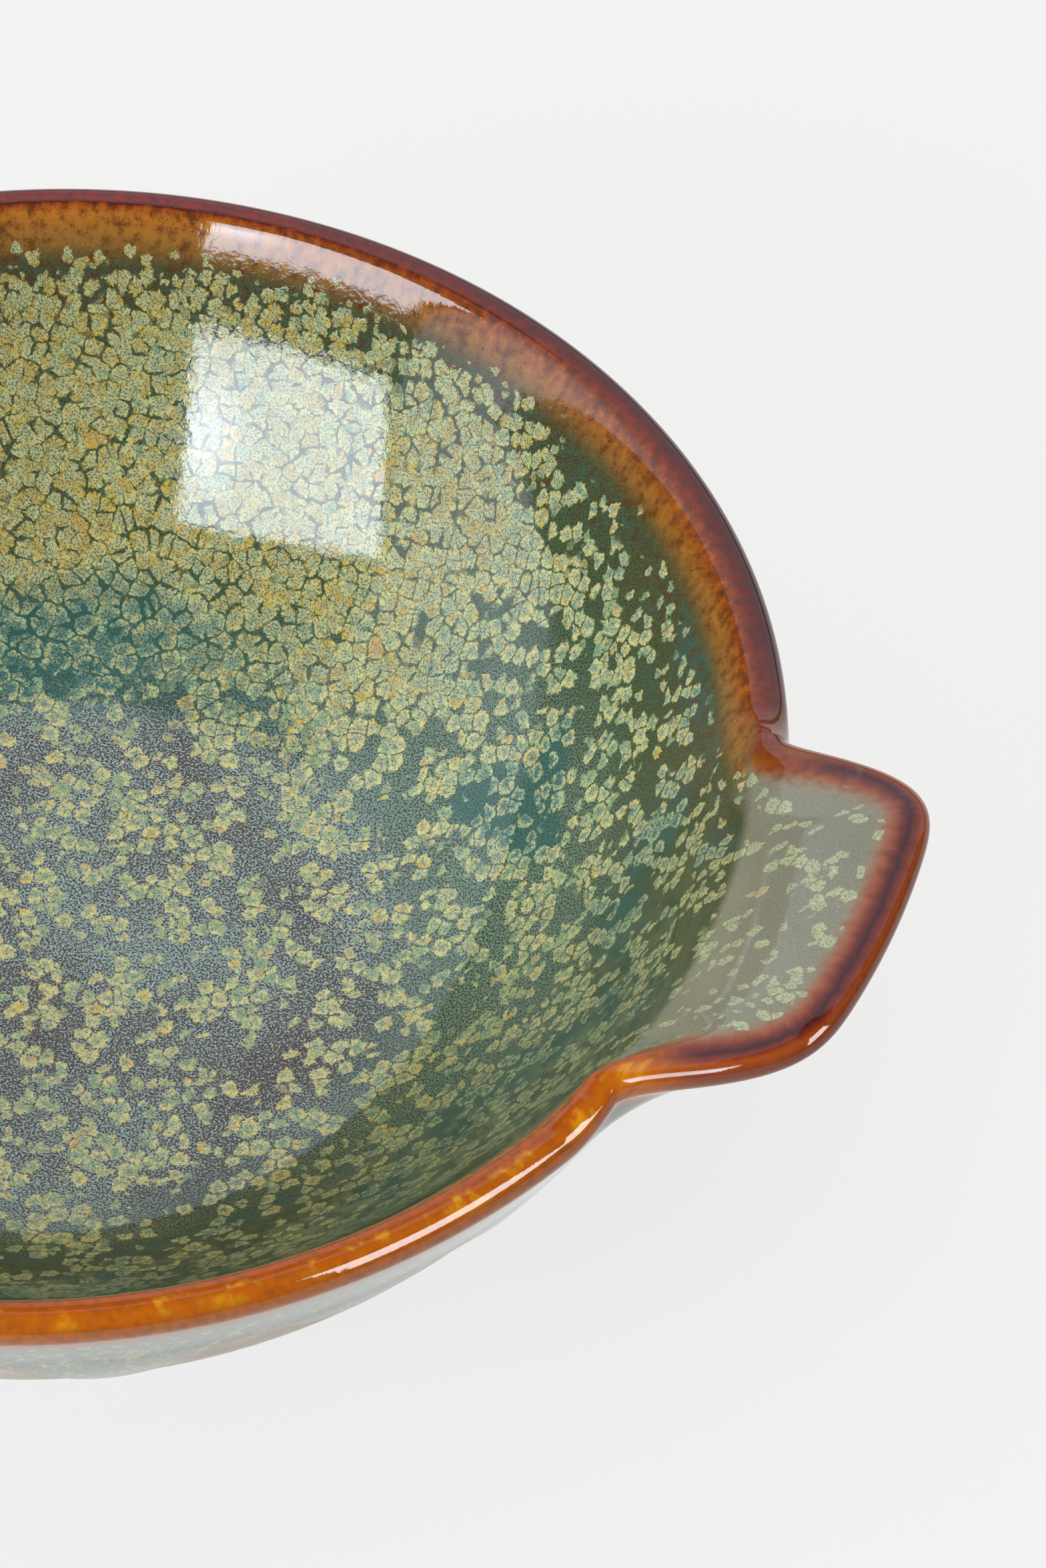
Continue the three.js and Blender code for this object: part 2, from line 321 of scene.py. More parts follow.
# A clay solid from profile polygons, one for each column
def claySolid(name, profiles, ring, closed, node, material):
    profiles = np.asarray(profiles)
    count, rows = profiles.shape[:2]
    vertices = profiles.reshape(-1, 3)
    keys = {}
    ids = [keys.setdefault(tuple(np.round(v, 6)), len(keys)) for v in vertices]
    ids = np.array(ids).reshape(count, rows)
    corners = np.array(list(keys))
    faces = []

    def addFace(loop):
        loop = [k for n, k in enumerate(loop) if k not in loop[:n]]
        if len(loop) > 2:
            faces.append(loop)

    for j in range(count if ring else count - 1):
        here, there = ids[j], ids[(j + 1) % count]
        for i in range(rows if closed else rows - 1):
            n = (i + 1) % rows
            addFace([here[i], here[n], there[n], there[i]])
    if not ring:
        addFace(list(ids[0])[::-1])
        addFace(list(ids[-1]))
    return addObject(name, corners, faces, node, material)


# Shader sockets as values: expressions on them add Math nodes
class Value:
    def __init__(self, paint, socket):
        self.paint, self.socket = paint, socket

    def math(self, operation, other):
        node = self.paint.node("ShaderNodeMath", {"operation": operation}, {0: self, 1: other})
        return Value(self.paint, node.outputs[0])

    def __add__(self, other): return self.math("ADD", other)
    __radd__ = __add__
    def __mul__(self, other): return self.math("MULTIPLY", other)
    __rmul__ = __mul__
    def __sub__(self, other): return self.math("SUBTRACT", other)
    def __rsub__(self, other): return (self * -1) + other
    def __truediv__(self, other): return self.math("DIVIDE", other)
    def most(self, other): return self.math("MAXIMUM", other)

    def step(self, low, high):  # smooth rise from 0 at low to 1 at high
        node = self.paint.node("ShaderNodeMapRange", {"interpolation_type": "SMOOTHSTEP"},
                               {"Value": self, "From Min": low, "From Max": high})
        return Value(self.paint, node.outputs[0])


def colour(code):  # hex code to linear light
    parts = [int(code[k:k + 2], 16) / 255 for k in (1, 3, 5)]
    return tuple(c / 12.92 if c <= 0.04045 else ((c + 0.055) / 1.055) ** 2.4 for c in parts) + (1.0,)


class Paint:
    def __init__(self, name):
        self.material = bpy.data.materials.new(name)
        self.material.use_nodes = True
        self.tree = self.material.node_tree
        self.tree.nodes.clear()
        self.shader = self.node("ShaderNodeBsdfPrincipled")
        self.node("ShaderNodeOutputMaterial", {}, {"Surface": self.shader.outputs[0]})

    def node(self, kind, settings=None, sockets=None):
        node = self.tree.nodes.new(kind)
        for key, setting in (settings or {}).items():
            if key == "stops":
                ramp = node.color_ramp
                while len(ramp.elements) < len(setting):
                    ramp.elements.new(0.5)
                for element, (place, tint) in zip(ramp.elements, setting):
                    element.position, element.color = place, tint
            else:
                setattr(node, key, setting)
        for key, given in (sockets or {}).items():
            given = given.socket if isinstance(given, Value) else given
            if isinstance(given, bpy.types.NodeSocket):
                self.tree.links.new(given, node.inputs[key])
            else:
                node.inputs[key].default_value = given
        return node

    def field(self, name):
        node = self.node("ShaderNodeAttribute", {"attribute_name": name})
        return Value(self, node.outputs["Fac"])

    def vectorField(self, name):
        return self.node("ShaderNodeAttribute", {"attribute_name": name}).outputs["Vector"]

    def vector(self, operation, a, b=None, scale=None):
        sockets = {0: a}
        if b is not None:
            sockets[1] = b
        if scale is not None:
            sockets["Scale"] = scale
        return self.node("ShaderNodeVectorMath", {"operation": operation}, sockets).outputs["Vector"]

    def measure(self, operation, *vectors):
        node = self.node("ShaderNodeVectorMath", {"operation": operation}, dict(enumerate(vectors)))
        return Value(self, node.outputs["Value"])

    def noise(self, place, scale, detail=2.0, rough=0.5):
        node = self.node("ShaderNodeTexNoise", {"noise_dimensions": "3D"},
                         {"Vector": place, "Scale": scale, "Detail": detail, "Roughness": rough})
        return Value(self, node.outputs["Fac"])

    def mix(self, amount, a, b, blend="MIX"):
        node = self.node("ShaderNodeMix", {"data_type": "RGBA", "blend_type": blend, "clamp_factor": True},
                         {"Factor": amount, 6: a, 7: b})
        return node.outputs[2]

    def ramp(self, amount, stops, low, high):
        placed = [((place - low) / (high - low), colour(code)) for place, code in stops]
        share = (amount - low) * (1 / (high - low))
        node = self.node("ShaderNodeValToRGB", {"stops": placed}, {"Fac": share})
        return node.outputs["Color"]

    def parts(self, tint):
        node = self.node("ShaderNodeSeparateColor", {}, {"Color": tint})
        return [Value(self, o) for o in node.outputs[:3]]

    def finish(self, base, bump, settings):
        self.tree.links.new(base, self.shader.inputs["Base Color"])
        self.tree.links.new(bump.outputs[0], self.shader.inputs["Normal"])
        for key, setting in settings.items():
            self.shader.inputs[key].default_value = setting
        return self.material


# Glaze colours, with the tints of a painted sheen and a painted shade
glazeLook = {
    "cream": "#c8c286", "yellow": "#c8a844", "green": "#8da274", "core": "#6a8684", "orange": "#c48434",
    "dot": "#1c3a33", "split": "#38574a", "olive": "#76885a", "lugCrystal": "#a0a482",
    "paleTeal": "#7ea693", "tealCore": "#245f60",
    # the second colour below is a painted reflection: a bluish sheen for the upper right wall
    "floorBlue": "#8aa3a0", "sheenTint": "#7d978e", "floorBrown": "#4a3933", "floorDark": "#1f2221",
    "wallGreen": "#40573f", "wallOlive": "#4a4c2e", "wallDark": "#1e2818", "teal": "#285752",
    "lugGround": "#7d7b6a", "lugShade": "#666656", "edgeRust": "#a8684c",
    "streak": "#4e2a12", "plum": "#2c1216", "yellowPatch": "#cc8a08", "amberLight": "#b8741c",
    # painted shade: the near wall's colour is multiplied by this tint
    "shade": (0.52, 0.5, 0.4, 1.0),
    "surface": {"Roughness": 0.03, "IOR": 1.52}, "bump": {"Strength": 0.22, "Distance": 0.00004},
}
# Crystals, with lengths in millimetres for the cells and in cells for the rest
crystalLook = {
    "size": 1.4, "shift": 3.7, "smallSize": 1.0, "smallShift": 11.3, "smallShare": 0.34,
    "slant": 0.7, "warps": ((0.9, 0.5), (3.2, 0.25)),  # scale and reach of the noise that bends the cells
    "random": 0.9, "spread": 40.0, "petals": 2.4, "petalDepth": 0.42, "cracks": 3.6, "frill": 0.2,
    "radius": 0.4, "radiusRange": 0.16, "edge": (-0.08, 0.06),
    "seam": (-0.025, 0.04), "seamFrill": 0.14, "pick": (-0.02, 0.03),
}
# Scale, detail and roughness of the noises that the glaze shares
grains = {"broad": (0.07, 2.0), "clump": (0.24, 2.0), "ragged": (1.1, 2.0), "fine": (5.2, 2.0, 0.6),
          "grit": (6.4, 1.0), "salt": (5.8, 1.0), "vein": (0.6, 1.0)}
streakGrain = {"turns": (42.0, 42.0, 1.0), "detail": 3.0}
# Where the glaze changes, and where the painted sheen lies, in millimetres from the middle of the floor
# along the surface
runZone = {"wayOut": (4, 22), "wall": (22, 33), "tealStart": (22, 27), "tealEnd": (30, 38),
           "paintedSheenStart": (24, 32), "paintedSheenEnd": (38, 52), "lugFace": (rootRun + 5.4, rootRun + 7.0)}
# Where the glaze changes, in millimetres past the crest, inside negative
crestZone = {"colours": (-8.0, 6.0), "thin": (-13.0, -6.0), "toRim": (-8.2, -3.8), "rim": (-5.9, -3.6),
             "amberStart": (-7.0, -4.5), "amberEnd": (-1.6, -0.7), "lugRim": (-3.4, -1.9),
             "lugBare": (-3.0, -1.6), "mottle": (-2.2, -0.4), "patchStart": (-0.6, -0.1),
             "patchEnd": (0.8, 1.6), "outside": (0.5, 3.0), "coat": (2.5, 5.0)}
# Rim colours at distances past the crest
farRim = [(-8.0, "#33401f"), (-6.0, "#47481e"), (-4.9, "#6a5224"), (-3.2, "#90642a"), (-1.6, "#aa6820"),
          (-0.95, "#86360e"), (-0.75, "#3c0d05"), (-0.5, "#7a220c"), (0.2, "#721a0c"), (0.8, "#5e1a16"),
          (1.6, "#5a3438"), (2.6, "#776256"), (3.8, "#7d8b7a")]
nearRim = [(-8.0, "#33401f"), (-5.5, "#4a4a1c"), (-3.5, "#7a4a14"), (-1.4, "#944806"), (-0.7, "#a24a0c"),
           (-0.4, "#9c4600"), (0.6, "#b45c00"), (1.5, "#b05a06"), (2.6, "#aa7048"), (4.2, "#7d8b7a")]
lugRim = [(-3.6, "#7d7b6a"), (-2.5, "#84705a"), (-1.6, "#884a2c"), (-0.9, "#601e12"), (-0.4, "#33090a"),
          (0.15, "#6e240e"), (0.6, "#954414"), (1.4, "#78341a"), (2.6, "#8c5c3e"), (4.5, "#7d8b7a")]
sideRim = [(-6.6, "#33401f"), (-5.4, "#4c4822"), (-4.3, "#705226"), (-3.1, "#8c5a24"), (-2.0, "#8a4614"),
           (-1.1, "#7a3010"), (-0.3, "#641c0c"), (0.5, "#4c1512"), (1.3, "#3e2026"), (2.6, "#776256"),
           (3.8, "#7d8b7a")]
# Directions on the bowl: towards the back of the picture and towards its left
photoSin, photoCos = np.sin(np.radians(photoTurn)), np.cos(np.radians(photoTurn))
farWay = (-photoSin, photoCos, 0.0)
leftWay = (-photoCos, -photoSin, 0.0)


# One layer of crystals in bent cells: where they are, how far out in a crystal, its tint and its cracks
def crystalLayer(paint, flow, size, shift, cover, grow, crack, fine):
    look = crystalLook
    place = paint.vector("ADD", flow, (shift, shift * look["slant"], 0.0))
    for scale, reach in look["warps"]:
        warp = paint.node("ShaderNodeTexNoise", {"noise_dimensions": "2D"},
                          {"Vector": place, "Scale": scale, "Detail": 1.0})
        bent = paint.vector("SUBTRACT", warp.outputs["Color"], (0.5, 0.5, 0.5))
        place = paint.vector("ADD", place, paint.vector("SCALE", bent, scale=reach))
    sockets = {"Vector": place, "Scale": 1 / size, "Randomness": look["random"]}
    flat = {"voronoi_dimensions": "2D"}
    cell = paint.node("ShaderNodeTexVoronoi", {**flat, "feature": "F1"}, sockets)
    gap = paint.node("ShaderNodeTexVoronoi", {**flat, "feature": "DISTANCE_TO_EDGE"}, sockets)
    pick, sizePick, tintPick = paint.parts(cell.outputs["Color"])
    ray = paint.vector("NORMALIZE", paint.vector("SUBTRACT", place, cell.outputs["Position"]))
    ray = paint.vector("ADD", ray, paint.vector("SCALE", cell.outputs["Color"], scale=look["spread"]))
    petals = paint.noise(ray, look["petals"], 0.0)
    cracks = paint.noise(ray, look["cracks"], 0.0)
    span = Value(paint, cell.outputs["Distance"]) + (petals - 0.5) * look["petalDepth"]
    span = span + (fine - 0.5) * look["frill"]
    radius = (sizePick * look["radiusRange"] + look["radius"]) * grow
    disc = 1 - (span - radius).step(*look["edge"])
    seam = Value(paint, gap.outputs["Distance"]) + (fine - 0.5) * look["seamFrill"] - crack
    seam = seam.step(*look["seam"])
    there = (cover - pick).step(*look["pick"])
    return {"mask": disc * there * seam, "span": span / radius, "tint": tintPick, "cracks": cracks}


# Petals of cream and yellow round a blue-grey core, with cracks between them and dark specks
def crystalColour(paint, layer, full, onFace, warm, cool, ragged, fine, grit):
    look = glazeLook
    pick = layer["tint"] * 0.35 + (ragged - 0.5) * 1.7 + (fine - 0.5) * 0.9 + warm
    tint = paint.mix((pick + 0.32).step(0.2, 0.6), colour(look["green"]), colour(look["cream"]))
    tint = paint.mix(pick.step(0.3, 0.66), tint, colour(look["yellow"]))
    tint = paint.mix(full * 0.2, tint, colour(look["olive"]))
    tint = paint.mix(onFace * 0.8, tint, colour(look["lugCrystal"]))
    tint = paint.mix(cool * 0.6, tint, colour(look["paleTeal"]))
    core = 1 - (layer["span"] + (fine - 0.5) * 0.9 - cool * 0.25).step(0.05, 0.7)
    coreTint = paint.mix(cool, colour(look["core"]), colour(look["tealCore"]))
    tint = paint.mix(core * (0.75 - warm * 1.9 + cool * 0.6) * (1 - onFace * 0.7), tint, coreTint)
    split = (1 - layer["cracks"].step(0.39, 0.46)) * layer["span"].step(0.2, 0.65)
    tint = paint.mix(split * (0.3 + full * 0.36), tint, colour(look["split"]))
    specks = (grit + core * 0.06 + warm * 0.14).step(0.59, 0.65)
    tint = paint.mix(specks * 0.7, tint, colour(look["dot"]))
    odd = layer["tint"].step(0.985, 0.995) * fine.step(0.45, 0.6)
    return paint.mix(odd * 0.6, tint, colour(look["orange"]))


def glazePaint(name):
    look = glazeLook
    paint = Paint(name)
    flow = paint.vectorField("flow")
    crest, onLug, lift, rise = (paint.field(f) for f in ("crest", "lug", "lift", "rise"))
    run = paint.measure("LENGTH", flow)
    way = paint.vector("NORMALIZE", flow)
    far, left = (paint.measure("DOT_PRODUCT", way, w) for w in (farWay, leftWay))
    broad, clump, ragged, fine, grit, salt, vein = (paint.noise(flow, *grain) for grain in grains.values())
    streak = paint.noise(paint.vector("MULTIPLY", way, streakGrain["turns"]), 1.0, streakGrain["detail"])
    onRun = lambda zone: run.step(*runZone[zone])
    pastCrest = lambda zone: crest.step(*crestZone[zone])
    wall, outside = onRun("wall"), pastCrest("outside")

    # where the crystals grow
    floorCover = 0.5 + far * onRun("wayOut") * 0.04 + (clump - 0.5) * 1.9
    thick = (far * 0.9 + left * 0.38 + (broad - 0.5) * 0.8).step(-0.1, 0.62)
    full = thick * wall
    wallCover = 0.58 + thick * 0.56 + (clump - 0.5) * (1.7 - thick * 1.3)
    cover = floorCover * (1 - wall) + wallCover * wall
    wavyCrest = crest + (ragged - 0.5) * 3.0
    toRim = (wavyCrest - full).step(*crestZone["toRim"])
    thin = wavyCrest.step(*crestZone["thin"])
    cover = cover * (1 - toRim) * (1 - outside) * (1 - thin * 0.12)
    onFace = lift.step(0.04, 0.4) * (run + (ragged - 0.5) * 0.5).step(*runZone["lugFace"])
    lugCover = (0.3 + (clump - 0.5) * 1.2) * (1 - pastCrest("lugBare"))
    cover = cover * (1 - lift) + lugCover * lift
    cover = cover * (1 - outside) + (0.36 + (clump - 0.5) * 1.2) * outside * pastCrest("coat") - 0.03
    tealBand = (run + (ragged - 0.5) * 8).step(*runZone["tealStart"])
    tealBand = tealBand * (1 - (run + (broad - 0.5) * 8).step(*runZone["tealEnd"]))
    tealBand = tealBand * (far * 0.7 + left * 0.6).step(-0.1, 0.8)
    tealPatch = broad.step(0.5, 0.62) * wall * (1 - full * 0.85)
    grow = 1.12 + full * 0.56 * (1 - thin * 0.9) - thin * 0.1 - toRim * 0.1 + onFace * 0.3
    crack = 0.05 + full * ((vein - 0.5) * 0.5 + tealBand * 0.06 - 0.02)
    large = crystalLayer(paint, flow, crystalLook["size"], crystalLook["shift"], cover, grow, crack, fine)
    small = crystalLayer(paint, flow, crystalLook["smallSize"], crystalLook["smallShift"],
                         cover * crystalLook["smallShare"], grow, crack, fine)

    # ground under the crystals
    speckle = (fine + (broad - 0.5) * 0.5).step(0.44, 0.56)
    pepper = (salt + (broad - 0.5) * 0.3).step(0.44, 0.55)
    floorGround = paint.mix(pepper, colour(look["floorBlue"]), colour(look["floorBrown"]))
    floorGround = paint.mix(grit.step(0.54, 0.62) * 0.85, floorGround, colour(look["floorDark"]))
    wallGround = paint.mix(speckle, colour(look["wallGreen"]), colour(look["wallOlive"]))
    wallGround = paint.mix(grit.step(0.52, 0.62) * 0.8, wallGround, colour(look["wallDark"]))
    ground = paint.mix(wall, floorGround, wallGround)
    # painted reflection: a patchy bluish sheen veil on the upper right wall, mixed into the ground colour
    sheenZone = (far * 0.35 - left).step(0.05, 0.75) * onRun("paintedSheenStart") * (1 - onRun("paintedSheenEnd"))
    paintedSheen = (1 - (salt * 0.6 + grit * 0.6).step(0.52, 0.66)) * sheenZone * (1 - full)
    ground = paint.mix(paintedSheen * 0.75, ground, colour(look["sheenTint"]))
    ground = paint.mix((tealBand * 0.85).most(tealPatch * 0.75), ground, colour(look["teal"]))
    brown = (ragged * 0.7 + fine * 0.5).step(0.5, 0.8) * thin
    ground = paint.mix(brown * 0.7, ground, colour(look["streak"]))
    lugGround = paint.mix(speckle * 0.6, colour(look["lugGround"]), colour(look["lugShade"]))
    ground = paint.mix(onFace, ground, lugGround)

    # rim colours
    shifted = crest + (ragged - 0.5) * 0.6 + (streak - 0.5) * 0.5
    farTint, sideTint, nearTint, lugTint = (paint.ramp(shifted, stops, *crestZone["colours"])
                                            for stops in (farRim, sideRim, nearRim, lugRim))
    farTint = paint.mix((left * -1).step(0.15, 0.75), farTint, sideTint)
    nearTint = paint.mix(ragged.step(0.35, 0.7) * 0.28, nearTint, colour(look["streak"]))
    patch = (clump + (ragged - 0.5) * 0.5).step(0.48, 0.66)
    patch = patch * pastCrest("patchStart") * (1 - pastCrest("patchEnd"))
    nearTint = paint.mix(patch * 0.8, nearTint, colour(look["yellowPatch"]))
    rim = paint.mix(far.step(-0.5, 0.2), nearTint, farTint)
    rim = paint.mix(onLug.step(0.05, 0.45), rim, lugTint)
    mottle = (fine * 0.5 + ragged * 0.6 + clump * 0.3).step(0.62, 0.85) * pastCrest("mottle")
    rim = paint.mix(mottle * far.step(-0.4, 0.2) * 0.55, rim, colour(look["plum"]))
    streaks = (streak * 0.7 + fine * 0.4 + ragged * 0.4).step(0.66, 0.9) * ragged.step(0.3, 0.7)
    rim = paint.mix(streaks * (far.step(-0.6, 0.3) * 0.4 + 0.1), rim, colour(look["streak"]))
    onAmber = pastCrest("amberStart") * (1 - pastCrest("amberEnd")) * (1 - onFace)
    blotch = fine * 0.5 + ragged * 0.6 + streak * 0.4
    rim = paint.mix(blotch.step(0.74, 0.92) * onAmber * 0.6, rim, colour(look["streak"]))
    rim = paint.mix((1 - blotch.step(0.56, 0.72)) * onAmber * 0.45, rim, colour(look["amberLight"]))
    rimPart = (crest + (ragged - 0.5) * 1.6 + (streak - 0.5) * 1.5).step(*crestZone["rim"]) * (1 - onFace)
    rimPart = rimPart + (crest + (ragged - 0.5) * 0.8).step(*crestZone["lugRim"]) * onFace
    base = paint.mix(rimPart, ground, rim)

    # crystals over the ground, and painted shade multiplied over the near wall
    warm = full * 0.22 + (broad - 0.5) * 0.4
    cool = (tealBand * 0.75).most(tealPatch * 0.6) * (1 - onFace)
    tintOf = lambda layer: crystalColour(paint, layer, full, onFace, warm, cool, ragged, fine, grit)
    base = paint.mix(small["mask"] * (0.85 - full * (1 - thin) * 0.75), base, tintOf(small))
    base = paint.mix(large["mask"], base, tintOf(large))
    # painted shade: darkens the ground and crystals of the near wall, which faces away from the light
    nearWallShade = (far * -1).step(-0.3, 0.8) * wall * (1 - outside) * (1 - onFace)
    base = paint.mix(nearWallShade * (1 - rimPart), base, look["shade"], "MULTIPLY")

    # lower edge of the outer coat
    edge = 1 - (rise + (ragged - 0.5) * 0.5).step(0.1, 0.9)
    base = paint.mix(edge * 0.9, base, colour(look["edgeRust"]))

    height = large["mask"].most(small["mask"]) * 0.12 + ragged * 0.9 + fine * 0.2
    bump = paint.node("ShaderNodeBump", {}, {**look["bump"], "Height": height})
    return paint.finish(base, bump, look["surface"])


clayLook = {
    "pale": "#cfc7bc", "dark": "#bcb2a4", "speck": "#8d7355",
    "grain": (2.6, 4.0, 0.65), "cloud": (0.12, 2.0), "specks": (1.9, 1.0),
    "turning": (0.05, 0.05, 3.0),  # marks of the turning tool run round the bowl
    "surface": {"Roughness": 0.82}, "bump": {"Strength": 0.35, "Distance": 0.0001},
}


def clayPaint(name):
    look = clayLook
    paint = Paint(name)
    place = paint.node("ShaderNodeTexCoord").outputs["Object"]
    place = paint.vector("SCALE", place, scale=1 / millimetre)
    grain, cloud, specks = (paint.noise(place, *look[key]) for key in ("grain", "cloud", "specks"))
    tint = paint.mix((grain * 0.6 + cloud * 0.6).step(0.45, 0.8), colour(look["pale"]), colour(look["dark"]))
    tint = paint.mix(specks.step(0.72, 0.75) * 0.6, tint, colour(look["speck"]))
    turned = paint.noise(paint.vector("MULTIPLY", place, look["turning"]), 1.0, 2.0)
    bump = paint.node("ShaderNodeBump", {}, {**look["bump"], "Height": grain * 0.6 + turned})
    return paint.finish(tint, bump, look["surface"])


clayMaterial = clayPaint("bareClay")
glazeMaterial = glazePaint("crystalGlaze")
print("paints ready")


def steps(name, count, stretches=1):  # places along the profile from a station on
    return np.linspace(station[name], station[name] + stretches, count + 1)


# Glaze coats
coats = {"floor": 30, "inner": 54, "face": 40, "lip": 18, "under": 22, "coat": 20, "bead": 6}
innerU = np.concatenate([steps("floor", coats["floor"]), steps("inner", coats["inner"])[1:]])
faceU, lipU, underU, coatU = (steps(key, coats[key]) for key in ("face", "lip", "under", "coat"))
rimU = np.concatenate([faceU, lipU[1:], underU[1:]])
edgeRow = int(round(lug["edgeStart"] * coats["face"]))
lugEdgeU = np.concatenate([faceU[edgeRow:], lipU[1:]])
coatPiece("innerGlaze", innerU, allAngles, True, "inner_glaze", glazeMaterial)
coatPiece("rimGlaze", rimU, plainAngles, False, "rim_glaze", glazeMaterial)
coatPiece("lugFaceGlaze", faceU[:edgeRow + 1], lugAngles, False, "lug_face_glaze", glazeMaterial)
coatPiece("lugEdgeGlaze", lugEdgeU, lugAngles, False, "lug_edge_glaze", glazeMaterial)
coatPiece("lugUnderGlaze", underU, lugAngles, False, "lug_under_glaze", glazeMaterial)
coatPiece("outerGlaze", coatU, allAngles, True, "outer_glaze", glazeMaterial, coats["bead"])
print("glaze coats built")

# Clay below the glaze, and the bare wall and foot
clayRows = {"floor": 8, "inner": 18, "lip": 24, "coat": 10, "bare": 26}


def clayAt(u, angle):
    return surfaceAt(u, angle) - bowl["glaze"] * normalAt(u, angle)


lowU = np.concatenate([steps("floor", clayRows["floor"]), steps("inner", clayRows["inner"])[1:]])
lipClayU = steps("face", clayRows["lip"], 3)
highU = np.concatenate([steps(key, clayRows[key])[1:] for key in ("coat", "bare")])
bodyLug, bodyPlain = lugAngles[::2], plainAngles[::2]


def bodyColumns(angle, lugSeat):
    low, lip, high = clayAt(lowU, angle), clayAt(lipClayU, angle), clayAt(highU, angle)
    high[-1] = np.stack([bowl["footRadius"] * np.cos(angle), bowl["footRadius"] * np.sin(angle),
                         np.full(len(angle), bowl["footHeight"])], -1)
    if lugSeat:  # the lug's root cuts the lip off straight
        t = np.linspace(0, 1, len(lip))[:, None, None]
        lip = lip[:1] * (1 - t) + lip[-1:] * t
    centre = np.zeros((1, len(angle), 3))
    centre[..., 2] = bowl["footHeight"]
    return np.concatenate([low, lip[1:], high, centre]).transpose(1, 0, 2)


body = np.concatenate([bodyColumns(bodyLug, True), bodyColumns(bodyPlain, False)])
claySolid("stonewareBody", body, True, False, "stoneware_body", clayMaterial)
claySolid("lugHandle", clayAt(lipClayU, bodyLug).transpose(1, 0, 2), False, True, "lug_handle", clayMaterial)

footRing = {"width": 4.4, "round": 0.8, "cornerSteps": 6, "columns": 180}
corner = np.radians(np.linspace(0, 90, footRing["cornerSteps"] + 1))
outerFoot = bowl["footRadius"]
innerFoot = outerFoot - footRing["width"]
soft = footRing["round"]
footProfile = [(outerFoot, bowl["footHeight"])]
footProfile += [(outerFoot - soft + soft * np.cos(a), soft - soft * np.sin(a)) for a in corner]
footProfile += [(innerFoot + soft - soft * np.sin(a), soft - soft * np.cos(a)) for a in corner]
footProfile += [(innerFoot, bowl["footHeight"])]
footAngles = np.linspace(0, 2 * np.pi, footRing["columns"] + 1)[:-1]
footColumns = [[(r * np.cos(a), r * np.sin(a), z) for r, z in footProfile] for a in footAngles]
claySolid("footRing", footColumns, True, True, "foot_ring", clayMaterial)
print("clay built")

# Floor, lights and camera, in metres; places of lights are azimuth and elevation
stageLook = {
    "floor": 0.1, "floorGlow": 0.78, "floorHalf": 3.0, "floorDrop": 0.0002, "world": 0.16,
    "cool": "#e2efff", "warm": "#fff1dc", "white": "#ffffff", "aimHeight": 0.025,
}
keyLook = {
    "corners": [(-157.3, 20.7), (-127.2, 15.6), (-115.3, 28.2), (-153.2, 42.2)],
    "power": 10.6, "reach": 0.8, "bouncePower": 19.5, "bounceReach": 0.82,
    "hotPlace": (-152, 30), "hotReach": 0.79, "hotSize": 0.17, "hotPower": 9.0,
    "mirror": (-5, 0), "mirrorReach": 0.045,  # the part of the wall that mirrors this light
}
sideLook = {"corners": [(106, 27), (141, 19), (141, 52), (106, 52)], "power": 13.0, "reach": 0.8}
# Edges of the sheets of cloth: elevation and left azimuth, then right azimuth
domeLook = {"reach": 0.9, "rows": 17, "columns": 40}
sheetLook = {"left": [(9, -124), (14, -123), (28, -111), (50, -100), (60, -100)], "right": 60, "power": 1.0,
             "hotPlace": (-104, 14), "hotSize": 0.75, "hotPower": 1.5}
fillLook = {"left": [(58, -180), (89, -180)], "right": 180, "power": 2.4}


def direction(azimuth, elevation):  # azimuth from straight away, positive to the right of the picture
    a, e = np.radians([azimuth - photoTurn, elevation])
    return Vector((np.cos(e) * np.sin(a), np.cos(e) * np.cos(a), np.sin(e)))


def lightPanel(name, points, faces, strength, tint, hot=None):
    mesh = bpy.data.meshes.new(name)
    mesh.from_pydata([tuple(p) for p in points], [], faces)
    paint = Paint(name)
    paint.tree.nodes.clear()
    if hot:  # brighter round the lamp behind the cloth
        place = paint.node("ShaderNodeTexCoord").outputs["Object"]
        away = paint.measure("LENGTH", paint.vector("SUBTRACT", place, tuple(hot["at"])))
        near = 1 - away.step(0, hot["size"])
        strength = near * near * hot["power"] + strength
    glow = paint.node("ShaderNodeEmission", {}, {"Strength": strength, "Color": colour(tint)})
    paint.node("ShaderNodeOutputMaterial", {}, {"Surface": glow.outputs[0]})
    mesh.materials.append(paint.material)
    panel = bpy.data.objects.new(name, mesh)
    bpy.context.scene.collection.objects.link(panel)
    panel.visible_camera = False
    return panel


def softbox(name, middle, reach, corners, strength, tint, hot=None):
    points = [middle + reach * direction(*c) for c in corners]
    return lightPanel(name, points, [(0, 1, 2, 3)], strength, tint, hot)


def domePanel(name, leftEdge, right, strength, tint, hot=None):
    heights = np.linspace(leftEdge[0][0], leftEdge[-1][0], domeLook["rows"])
    lefts = np.interp(heights, *zip(*leftEdge))
    across = domeLook["columns"]
    points = [aim + domeLook["reach"] * direction(left + (right - left) * k / across, height)
              for height, left in zip(heights, lefts) for k in range(across + 1)]
    faces = [(a, a + 1, a + across + 2, a + across + 1)
             for j in range(len(heights) - 1) for a in range(j * (across + 1), j * (across + 1) + across)]
    return lightPanel(name, points, faces, strength, tint, hot)


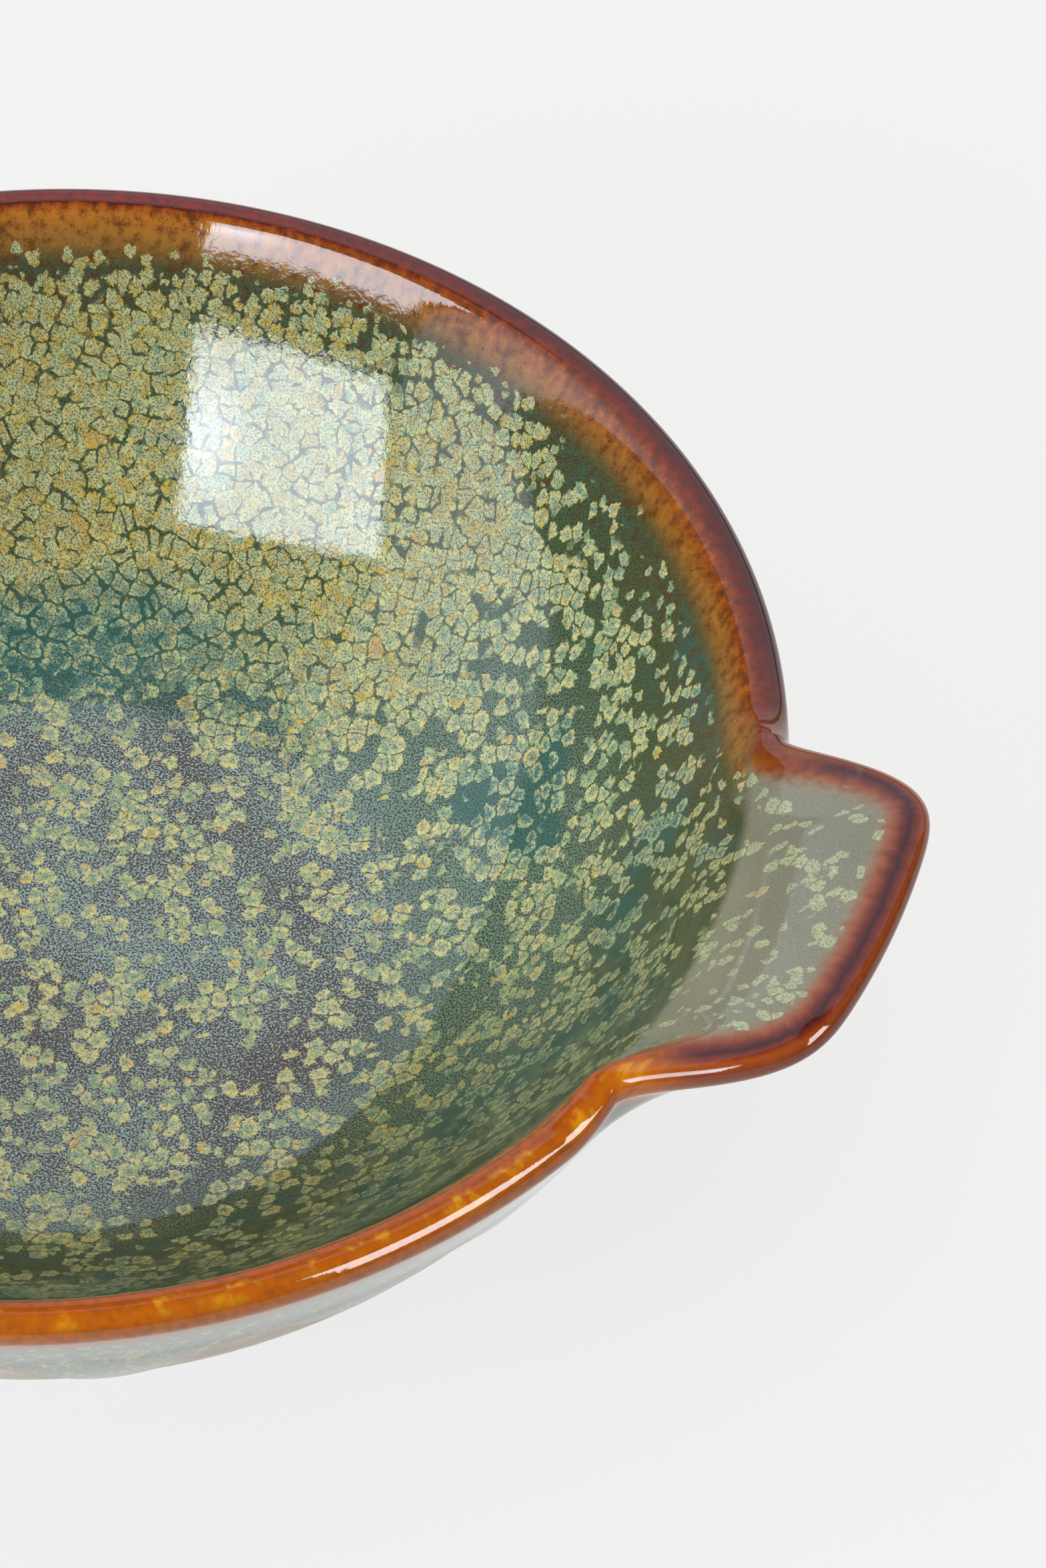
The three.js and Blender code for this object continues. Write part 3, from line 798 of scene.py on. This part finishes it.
aim = Vector((bowl["axisX"] * millimetre, 0, stageLook["aimHeight"]))
farWall = aim + keyLook["mirrorReach"] * direction(*keyLook["mirror"])
softbox("keySoftbox", farWall, keyLook["reach"], keyLook["corners"], keyLook["power"], stageLook["cool"],
        {"at": farWall + keyLook["hotReach"] * direction(*keyLook["hotPlace"]), "size": keyLook["hotSize"],
         "power": keyLook["hotPower"]})
bounce = softbox("keyBounce", farWall, keyLook["bounceReach"], keyLook["corners"], keyLook["bouncePower"],
                 stageLook["warm"])
bounce.visible_glossy = False  # shades the matt colours without a second highlight
domePanel("softSheet", sheetLook["left"], sheetLook["right"], sheetLook["power"], stageLook["cool"],
          {"at": aim + domeLook["reach"] * direction(*sheetLook["hotPlace"]), "size": sheetLook["hotSize"],
           "power": sheetLook["hotPower"]})
fill = domePanel("fillSheet", fillLook["left"], fillLook["right"], fillLook["power"], stageLook["warm"])
fill.visible_glossy = False
side = softbox("sideSoftbox", aim, sideLook["reach"], sideLook["corners"], sideLook["power"],
               stageLook["white"])
side.visible_diffuse = False  # a highlight on the near rim only

half = stageLook["floorHalf"]
floorMesh = bpy.data.meshes.new("floor")
floorCorners = [(-half, -half, 0), (half, -half, 0), (half, half, 0), (-half, half, 0)]
floorMesh.from_pydata(floorCorners, [], [(0, 1, 2, 3)])
floorPaint = Paint("paleFloor")
floorSurface = {"Base Color": (stageLook["floor"],) * 3 + (1,), "Roughness": 1.0, "Specular IOR Level": 0.0,
                "Emission Color": (1, 1, 1, 1), "Emission Strength": stageLook["floorGlow"]}
for key, setting in floorSurface.items():
    floorPaint.shader.inputs[key].default_value = setting
floorMesh.materials.append(floorPaint.material)
floor = bpy.data.objects.new("floor", floorMesh)
floor.location.z = -stageLook["floorDrop"]
bpy.context.scene.collection.objects.link(floor)

world = bpy.data.worlds.new("studio")
world.use_nodes = True
background = world.node_tree.nodes["Background"]
background.inputs["Color"].default_value = (1, 1, 1, 1)
background.inputs["Strength"].default_value = stageLook["world"]
bpy.context.scene.world = world

cameraLook = {"sensor": 36.0, "lens": 183.83, "place": (0.16466, -0.33645, 0.47550), "tilt": 39.96}
cameraData = bpy.data.cameras.new("camera")
cameraData.sensor_fit = "VERTICAL"
cameraData.sensor_height = cameraLook["sensor"]
cameraData.lens = cameraLook["lens"]
camera = bpy.data.objects.new("camera", cameraData)
camera.location = cameraLook["place"]
camera.rotation_euler = np.radians((cameraLook["tilt"], 0, photoTurn))
bpy.context.scene.collection.objects.link(camera)
bpy.context.scene.camera = camera
bpy.context.scene.view_settings.view_transform = "Standard"
print("stage ready")

bpy.context.view_layer.update()
